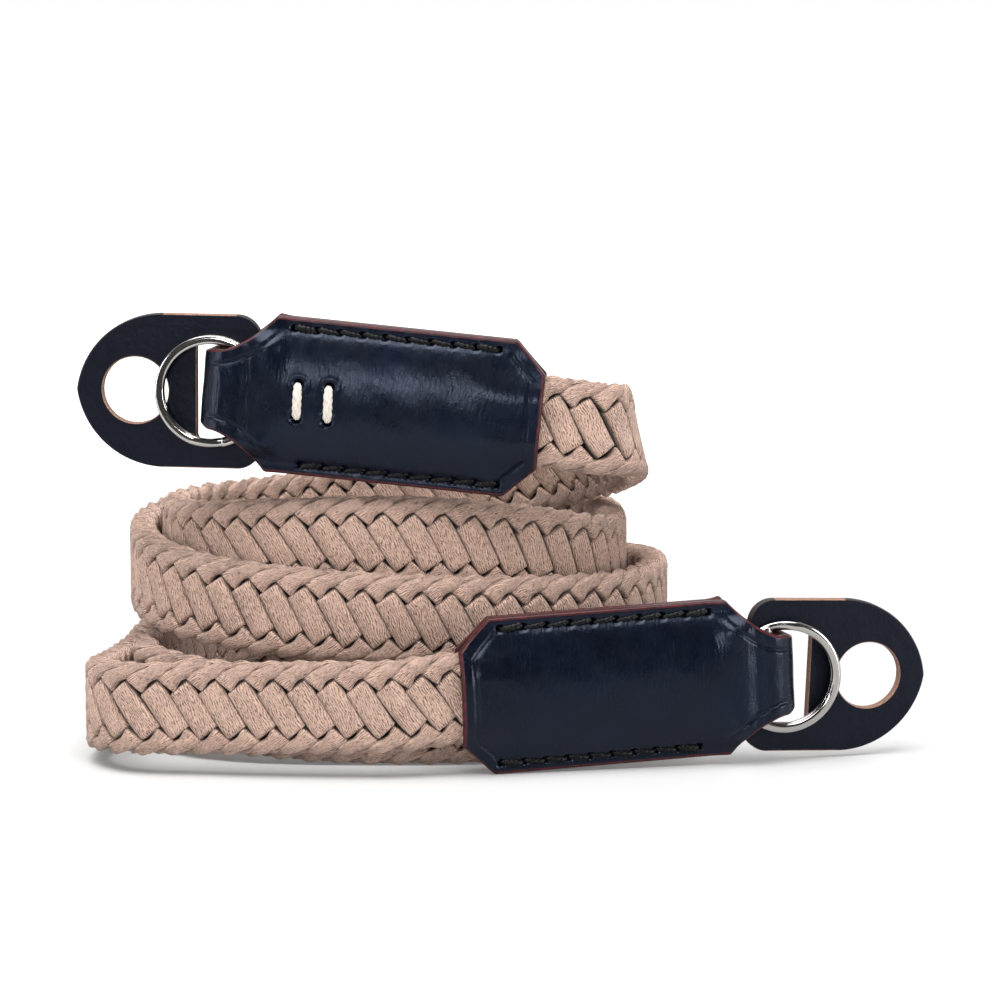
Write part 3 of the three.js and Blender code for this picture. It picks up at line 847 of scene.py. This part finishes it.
# A stitch's thread: a raised arc between two places, with its plies twisted round it
def threadRings(path, halfWidth, halfHeight, plies, twist, lobes):
    along = unit(np.gradient(path, axis=0))
    side = unit(np.cross(zAxis, along))
    normal = np.cross(along, side)
    run = wayAlong(path)
    angles = np.arange(thread["sides"]) * 2 * math.pi / thread["sides"]
    grid = angles[None, :] - 2 * math.pi * run[:, None] / twist
    radius = 1 - lobes + lobes * np.abs(np.cos(grid * plies / 2))
    thinnest, growth = thread["ends"]
    taper = np.minimum(1, thinnest + growth * np.sin(math.pi * (run / run[-1])))[:, None]
    rings = (
        path[:, None]
        + side[:, None] * (halfWidth * taper * radius * np.cos(angles))[..., None]
        + normal[:, None] * (halfHeight * taper * radius * np.sin(angles))[..., None]
    )
    return rings, run, angles


def stitchPath(start, stop, arc, steps=thread["steps"]):
    share = np.linspace(0, 1, steps)[:, None]
    path = np.array(start) * (1 - share) + np.array(stop) * share
    path[:, 2] += arc * np.sin(math.pi * share[:, 0]) ** thread["arcPower"] - thread["sunk"]
    return path


def faceHeight(x, y):
    openness = parting(np.array(x), np.array(y), 1)
    return float(tab["pocketHalf"] * openness + tab["leather"])


def makeStitches(name, stitchedFace, turn, origin):
    black, cream = (dict(points=[], faces=[], uvs=[]) for _ in range(2))

    def addThread(batch, path, halfWidth, halfHeight, kind, facingSide):
        twisting = (kind["plies"], kind["twist"], kind["lobes"])
        rings, run, angles = threadRings(path, halfWidth, halfHeight, *twisting)
        count, sides = rings.shape[:2]
        start = sum(len(p) for p in batch["points"])
        batch["faces"].append(tubeFaces(count, sides, start))
        local = rings.reshape(-1, 3) * np.array([1, 1, facingSide])
        batch["points"].append(local @ turn + origin)
        around = 2 * math.pi * halfWidth
        across = np.tile(angles / (2 * math.pi) * around, (count, 1))
        batch["uvs"].append(tubeUv(across, run, around))

    for facingSide in (1, -1):
        for row in stitchRows[name]:
            holes = stitchHoles(row)
            for i, (first, second) in enumerate(zip(holes, holes[1:])):
                z = faceHeight(*first) - stitch["grooveDepth"]
                slant = stitch["slant"] * row["side"] * facingSide
                doubled = stitch["doubled"] if i in (0, len(holes) - 2) else 1
                radius = stitch["threadRadius"] * doubled * draws.uniform(*stitch["spread"])
                path = stitchPath(
                    (first[0] + stitch["inHole"], first[1] - slant, z),
                    (second[0] - stitch["inHole"], second[1] + slant, z),
                    stitch["arc"],
                )
                wide, high = radius * stitch["wide"], radius * stitch["high"]
                addThread(black, path, wide, high, stitch, facingSide)
        if facingSide == stitchedFace:
            for x in cross["places"]:
                z = faceHeight(x, 0) - cross["sunk"]
                lean, reachY = cross["lean"], cross["halfLength"]
                path = stitchPath(
                    (x + lean, cross["above"] - reachY, z),
                    (x - lean, cross["above"] + reachY, z),
                    cross["arc"],
                    cross["steps"],
                )
                wide, high = cross["radius"], cross["height"]
                addThread(cream, path, wide, high, cross, facingSide)
    for batch, key, pieceName in (
        (black, "blackThread", f"{name}_tab_stitches"),
        (cream, "creamThread", f"{name}_tab_cross_stitches"),
    ):
        made = makeObject(
            pieceName,
            np.concatenate(batch["points"]),
            np.concatenate(batch["faces"]),
            {"thread": np.concatenate(batch["uvs"])},
            [key],
        )
        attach(made, "root")


for endName, stitchedFace in (("upper", 1), ("lower", -1)):
    makeTab(endName, ends[endName], stitchedFace)
print("tabs made")


# Rings and guards

ring = dict(outer=18, wireWidth=1.45, wireDepth=0.95, squareness=3.2, gap=0.1)
ring.update(jog=34, fromFold=1.5, sag=0.6, steps=240, sides=14)
guard = dict(
    thickness=1.8, width=24.6, hole=10.6, tipWall=4.2, strip=4.6, slotWidth=6.4, bar=4,
    corner=4, shoulder=14, tipRadius=2, slotLength=15.7, slotCorner=1, foldPlay=1, sag=1,
    bevel=0.28, bevelSteps=3,
)
# Steps round each arc of the guard's outline
arcSteps = dict(corner=14, side=40, tip=12, hole=73, slot=7)
# A face that looks less than this along the plate is part of its cut walls
wallBelow = 0.85
fit = 0.3
ringDepth = 2 * ring["wireDepth"] + ring["gap"]
# What the loop has to spare beside ring, guard and two fits, shared by the two
spare = tab["loopHalf"] - (ringDepth + guard["thickness"] + 2 * fit) / 2


# down is 1 or -1 along the tab's own y, whichever points to the ground
def hangingPlace(end, x, sag, depth, turned, droop=0):
    mouth, along, facing, across = endPlacement(end)
    down = -1 if across.z > 0 else 1
    basis = Matrix((along, across, facing)).transposed().to_4x4()
    inTab = Matrix.Translation((x, down * sag, depth))
    place = Matrix.Translation(mouth + strapShift) @ basis @ inTab
    swung = place @ Matrix.Rotation(math.radians(turned), 4, "Y")
    return swung @ Matrix.Rotation(down * math.radians(droop), 4, "Z")


def placed(points, matrix):
    turn = np.array(matrix.to_3x3())
    return points @ turn.T + np.array(matrix.translation)


def makeRing(name, end):
    inFront = tab["loopHalf"] - fit - spare / 2 - ringDepth / 2
    x = tab["length"] - ring["fromFold"]
    place = hangingPlace(end, x, ring["sag"], inFront, end["ringTurn"])
    turn = np.linspace(0, 720 - ring["jog"], ring["steps"])
    angle = np.radians(90 + ring["jog"] / 2 + turn)
    radius = (ring["outer"] - ring["wireWidth"]) / 2
    jog = smoothstep(turn, 360 - ring["jog"], 360)
    z = (ring["wireDepth"] + ring["gap"]) * (0.5 - jog)
    centre = np.stack([radius * np.cos(angle), radius * np.sin(angle), z], axis=1)
    outward = np.stack([np.cos(angle), np.sin(angle), np.zeros_like(angle)], axis=1)
    corners = np.arange(ring["sides"]) * 2 * math.pi / ring["sides"]
    power = 2 / ring["squareness"]
    cosines, sines = np.cos(corners), np.sin(corners)
    sectionOut = np.sign(cosines) * np.abs(cosines) ** power * ring["wireWidth"] / 2
    sectionUp = np.sign(sines) * np.abs(sines) ** power * ring["wireDepth"] / 2
    sideways = outward[:, None] * sectionOut[None, :, None]
    rings = centre[:, None] + sideways + zAxis * sectionUp[None, :, None]
    faces = tubeFaces(ring["steps"], ring["sides"])
    caps = []
    for first in (0, (ring["steps"] - 1) * ring["sides"]):
        order = np.arange(ring["sides"]) + first
        half = ring["sides"] // 2
        for i in range(half - 1):
            quad = [order[i], order[i + 1], order[-2 - i], order[-1 - i]]
            caps.append(quad if first else quad[::-1])
    run = np.radians(turn) * radius
    around = 2 * (ring["wireWidth"] + ring["wireDepth"])
    across = np.tile(corners / (2 * math.pi) * around, (ring["steps"], 1))
    uv = np.concatenate([tubeUv(across, run, around), np.zeros((len(caps) * 4, 2))])
    made = makeObject(
        f"{name}_steel_ring",
        placed(rings.reshape(-1, 3), place),
        np.concatenate([faces, np.array(caps)]),
        {"wire": uv},
        ["steel"],
    )
    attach(made, "root")
    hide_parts(f"{name}_split_ring")


def arcPoints(centreX, centreY, radius, start, stop, steps):
    angles = np.linspace(start, stop, steps)
    return [(centreX + radius * math.cos(a), centreY + radius * math.sin(a)) for a in angles]


def guardLoops():
    tip = guard["foldPlay"] + guard["strip"] + guard["hole"] + guard["tipWall"]
    inner, half = guard["foldPlay"] - guard["slotWidth"] - guard["bar"], guard["width"] / 2
    sideEnd = tip - guard["shoulder"]
    blunt = guard["tipRadius"]
    rise = guard["shoulder"] - blunt
    ogive = (rise**2 + half**2 - blunt**2) / (2 * (half - blunt))
    tipAngle = math.atan2(ogive - half, rise)
    corner, quarter = guard["corner"], math.pi / 2
    bend, flank = arcSteps["corner"], arcSteps["side"]
    body = [
        *arcPoints(inner + corner, corner - half, corner, 2 * quarter, 3 * quarter, bend),
        *arcPoints(sideEnd, ogive - half, ogive, 3 * quarter, 4 * quarter - tipAngle, flank),
        *arcPoints(tip - blunt, 0, blunt, -tipAngle, tipAngle, arcSteps["tip"])[1:-1],
        *arcPoints(sideEnd, half - ogive, ogive, tipAngle, quarter, flank),
        *arcPoints(inner + corner, half - corner, corner, quarter, 2 * quarter, bend),
    ]
    holeRadius = guard["hole"] / 2
    holeX = guard["foldPlay"] + guard["strip"] + holeRadius
    hole = arcPoints(holeX, 0, holeRadius, 0, 4 * quarter, arcSteps["hole"])[:-1]
    bend = guard["slotCorner"]
    near, far = guard["foldPlay"] - guard["slotWidth"] + bend, guard["foldPlay"] - bend
    reach = guard["slotLength"] / 2 - bend
    corners = [(far, reach), (near, reach), (near, -reach), (far, -reach)]
    slot = [
        point
        for i, (x, y) in enumerate(corners)
        for point in arcPoints(x, y, bend, i * quarter, (i + 1) * quarter, arcSteps["slot"])
    ]
    return body, hole, slot


def makeGuard(name, end):
    behind = tab["loopHalf"] - fit - spare / 2 - guard["thickness"] / 2
    x = tab["length"] + end["slide"]
    place = hangingPlace(end, x, guard["sag"], -behind, end["guardTurn"], end["droop"])
    curve = bpy.data.curves.new(f"{name}_guard_outline", "CURVE")
    curve.dimensions = "2D"
    curve.fill_mode = "BOTH"
    for loop in guardLoops():
        spline = curve.splines.new("POLY")
        spline.points.add(len(loop) - 1)
        for point, (x, y) in zip(spline.points, loop):
            point.co = (x, y, 0, 1)
        spline.use_cyclic_u = True
    curve.extrude = guard["thickness"] / 2 - guard["bevel"]
    curve.bevel_depth = guard["bevel"]
    curve.bevel_resolution = guard["bevelSteps"]
    curve.offset = -guard["bevel"]
    drawn = linked(f"{name}_guard_outline", curve)
    bpy.context.view_layer.update()
    evaluated = drawn.evaluated_get(bpy.context.evaluated_depsgraph_get())
    mesh = bpy.data.meshes.new_from_object(evaluated)
    bpy.data.objects.remove(drawn)
    bpy.data.curves.remove(curve)
    mesh.name = f"{name}_leather_guard"
    body, hole, slot = (np.array(loop) for loop in guardLoops())
    mesh.materials.clear()
    for key in ("guardLeather", "burnished", "cutLeather"):
        mesh.materials.append(materials[key])
    for polygon in mesh.polygons:
        middle = np.array(polygon.center[:2])
        outer = np.hypot(*(body - middle).T).min()
        inner = min(np.hypot(*(loop - middle).T).min() for loop in (hole, slot))
        polygon.use_smooth = True
        if abs(polygon.normal.z) < wallBelow:
            polygon.material_index = 1 if outer < inner else 2
    mesh.transform(place)
    mesh.transform(Matrix.Scale(mm, 4))
    made = linked(f"{name}_leather_guard", mesh)
    made.modifiers.new("crisp faces", "WEIGHTED_NORMAL").keep_sharp = True
    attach(made, "root")
    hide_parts(f"{name}_guard")


for endName in ("upper", "lower"):
    makeRing(endName, ends[endName])
    makeGuard(endName, ends[endName])
print("rings and guards made")


# Floor, lights and camera


# The white table ends in front of the picture, so the leather mirrors the dark room there. The
# table glows, so that it shows white; round the strap its colour is darker and its glow weaker, a
# painted shade that also keeps the contact shadow visible. reach, nearEdge, graded: in metres
table = dict(reach=4.0, nearEdge=-0.2, graded=(0.1, 0.4), glow=(0.1, 0.45), white=(0.43, 0.85))


def makeFloor():
    mesh = bpy.data.meshes.new("studio_floor")
    reach, nearEdge = table["reach"], table["nearEdge"]
    corners = [(-reach, nearEdge, 0), (reach, nearEdge, 0), (reach, reach, 0), (-reach, reach, 0)]
    mesh.from_pydata(corners, [], [(0, 1, 2, 3)])
    material, tree, shader = newMaterial(
        "white_acrylic_floor", {"Roughness": 0.45, "Specular IOR Level": 0.2}
    )
    place = addNode(tree, "ShaderNodeTexCoord")
    fromMiddle = {0: place.outputs["Object"]}
    away = addNode(tree, "ShaderNodeVectorMath", {"operation": "LENGTH"}, fromMiddle)
    start, stop = table["graded"]
    # Glow and colour grow with the distance from the strap: painted shade round it, and a glow
    # that keeps the far table white
    for socket, key in (("Emission Strength", "glow"), ("Base Color", "white")):
        near, far = table[key]
        limits = {"From Min": start, "From Max": stop, "To Min": near, "To Max": far}
        graded = addNode(tree, "ShaderNodeMapRange", limits, {"Value": away.outputs["Value"]})
        tree.links.new(graded.outputs[0], shader.inputs[socket])
    shader.inputs["Emission Color"].default_value = (1, 1, 1, 1)
    mesh.materials.append(material)
    floor = linked("studio_floor", mesh)


# place, aim and size in metres, power in watts
def addArea(name, place, aim, size, power):
    light = bpy.data.lights.new(name, "AREA")
    light.shape = "RECTANGLE"
    light.size, light.size_y = size
    light.energy = power
    lamp = linked(name, light)
    lamp.location = place
    lamp.rotation_euler = (Vector(aim) - Vector(place)).to_track_quat("-Z", "Y").to_euler()


# The room is bright behind the strap and dark behind the camera
def makeWorld():
    world = bpy.data.worlds.new("studio")
    world.use_nodes = True
    tree = world.node_tree
    place = addNode(tree, "ShaderNodeTexCoord")
    split = addNode(tree, "ShaderNodeSeparateXYZ", links={0: place.outputs["Generated"]})
    limits = {"From Min": -0.5, "From Max": 0.35, "To Min": 0.08, "To Max": 1.0}
    behind = addNode(tree, "ShaderNodeMapRange", limits, {"Value": split.outputs[1]})
    tree.links.new(behind.outputs[0], tree.nodes["Background"].inputs["Strength"])
    tree.nodes["Background"].inputs["Color"].default_value = (1, 1, 1, 1)
    bpy.context.scene.world = world


makeFloor()
makeWorld()
addArea("overhead softbox", (-0.08, -0.22, 0.8), (0, 0, 0.02), (0.8, 0.6), 15)
addArea("left softbox", (-0.72, -0.42, 0.15), (0, 0, 0.04), (0.22, 0.4), 2.4)
addArea("front softbox", (-0.16, -0.85, 0.22), (-0.03, 0, 0.06), (0.18, 0.08), 2.1)
addArea("right strip", (0.68, -0.44, 0.1), (0.05, 0, 0.03), (0.14, 0.4), 4.2)

view = dict(target=(16.8, 0, 36.7), elevation=9, distance=650, lens=140.4)


def makeCamera():
    bpy.context.scene.view_settings.view_transform = "Standard"
    camera = bpy.data.cameras.new("camera")
    camera.lens = view["lens"]
    camera.sensor_width = 36
    camera.clip_start, camera.clip_end = 0.05, 20
    made = linked("camera", camera)
    elevation = math.radians(view["elevation"])
    forward = Vector((0, math.cos(elevation), -math.sin(elevation)))
    target = Vector(view["target"]) + strapShift
    made.location = (target - forward * view["distance"]) * mm
    made.rotation_euler = forward.to_track_quat("-Z", "Y").to_euler()
    bpy.context.scene.camera = made


makeCamera()
print("stage made")
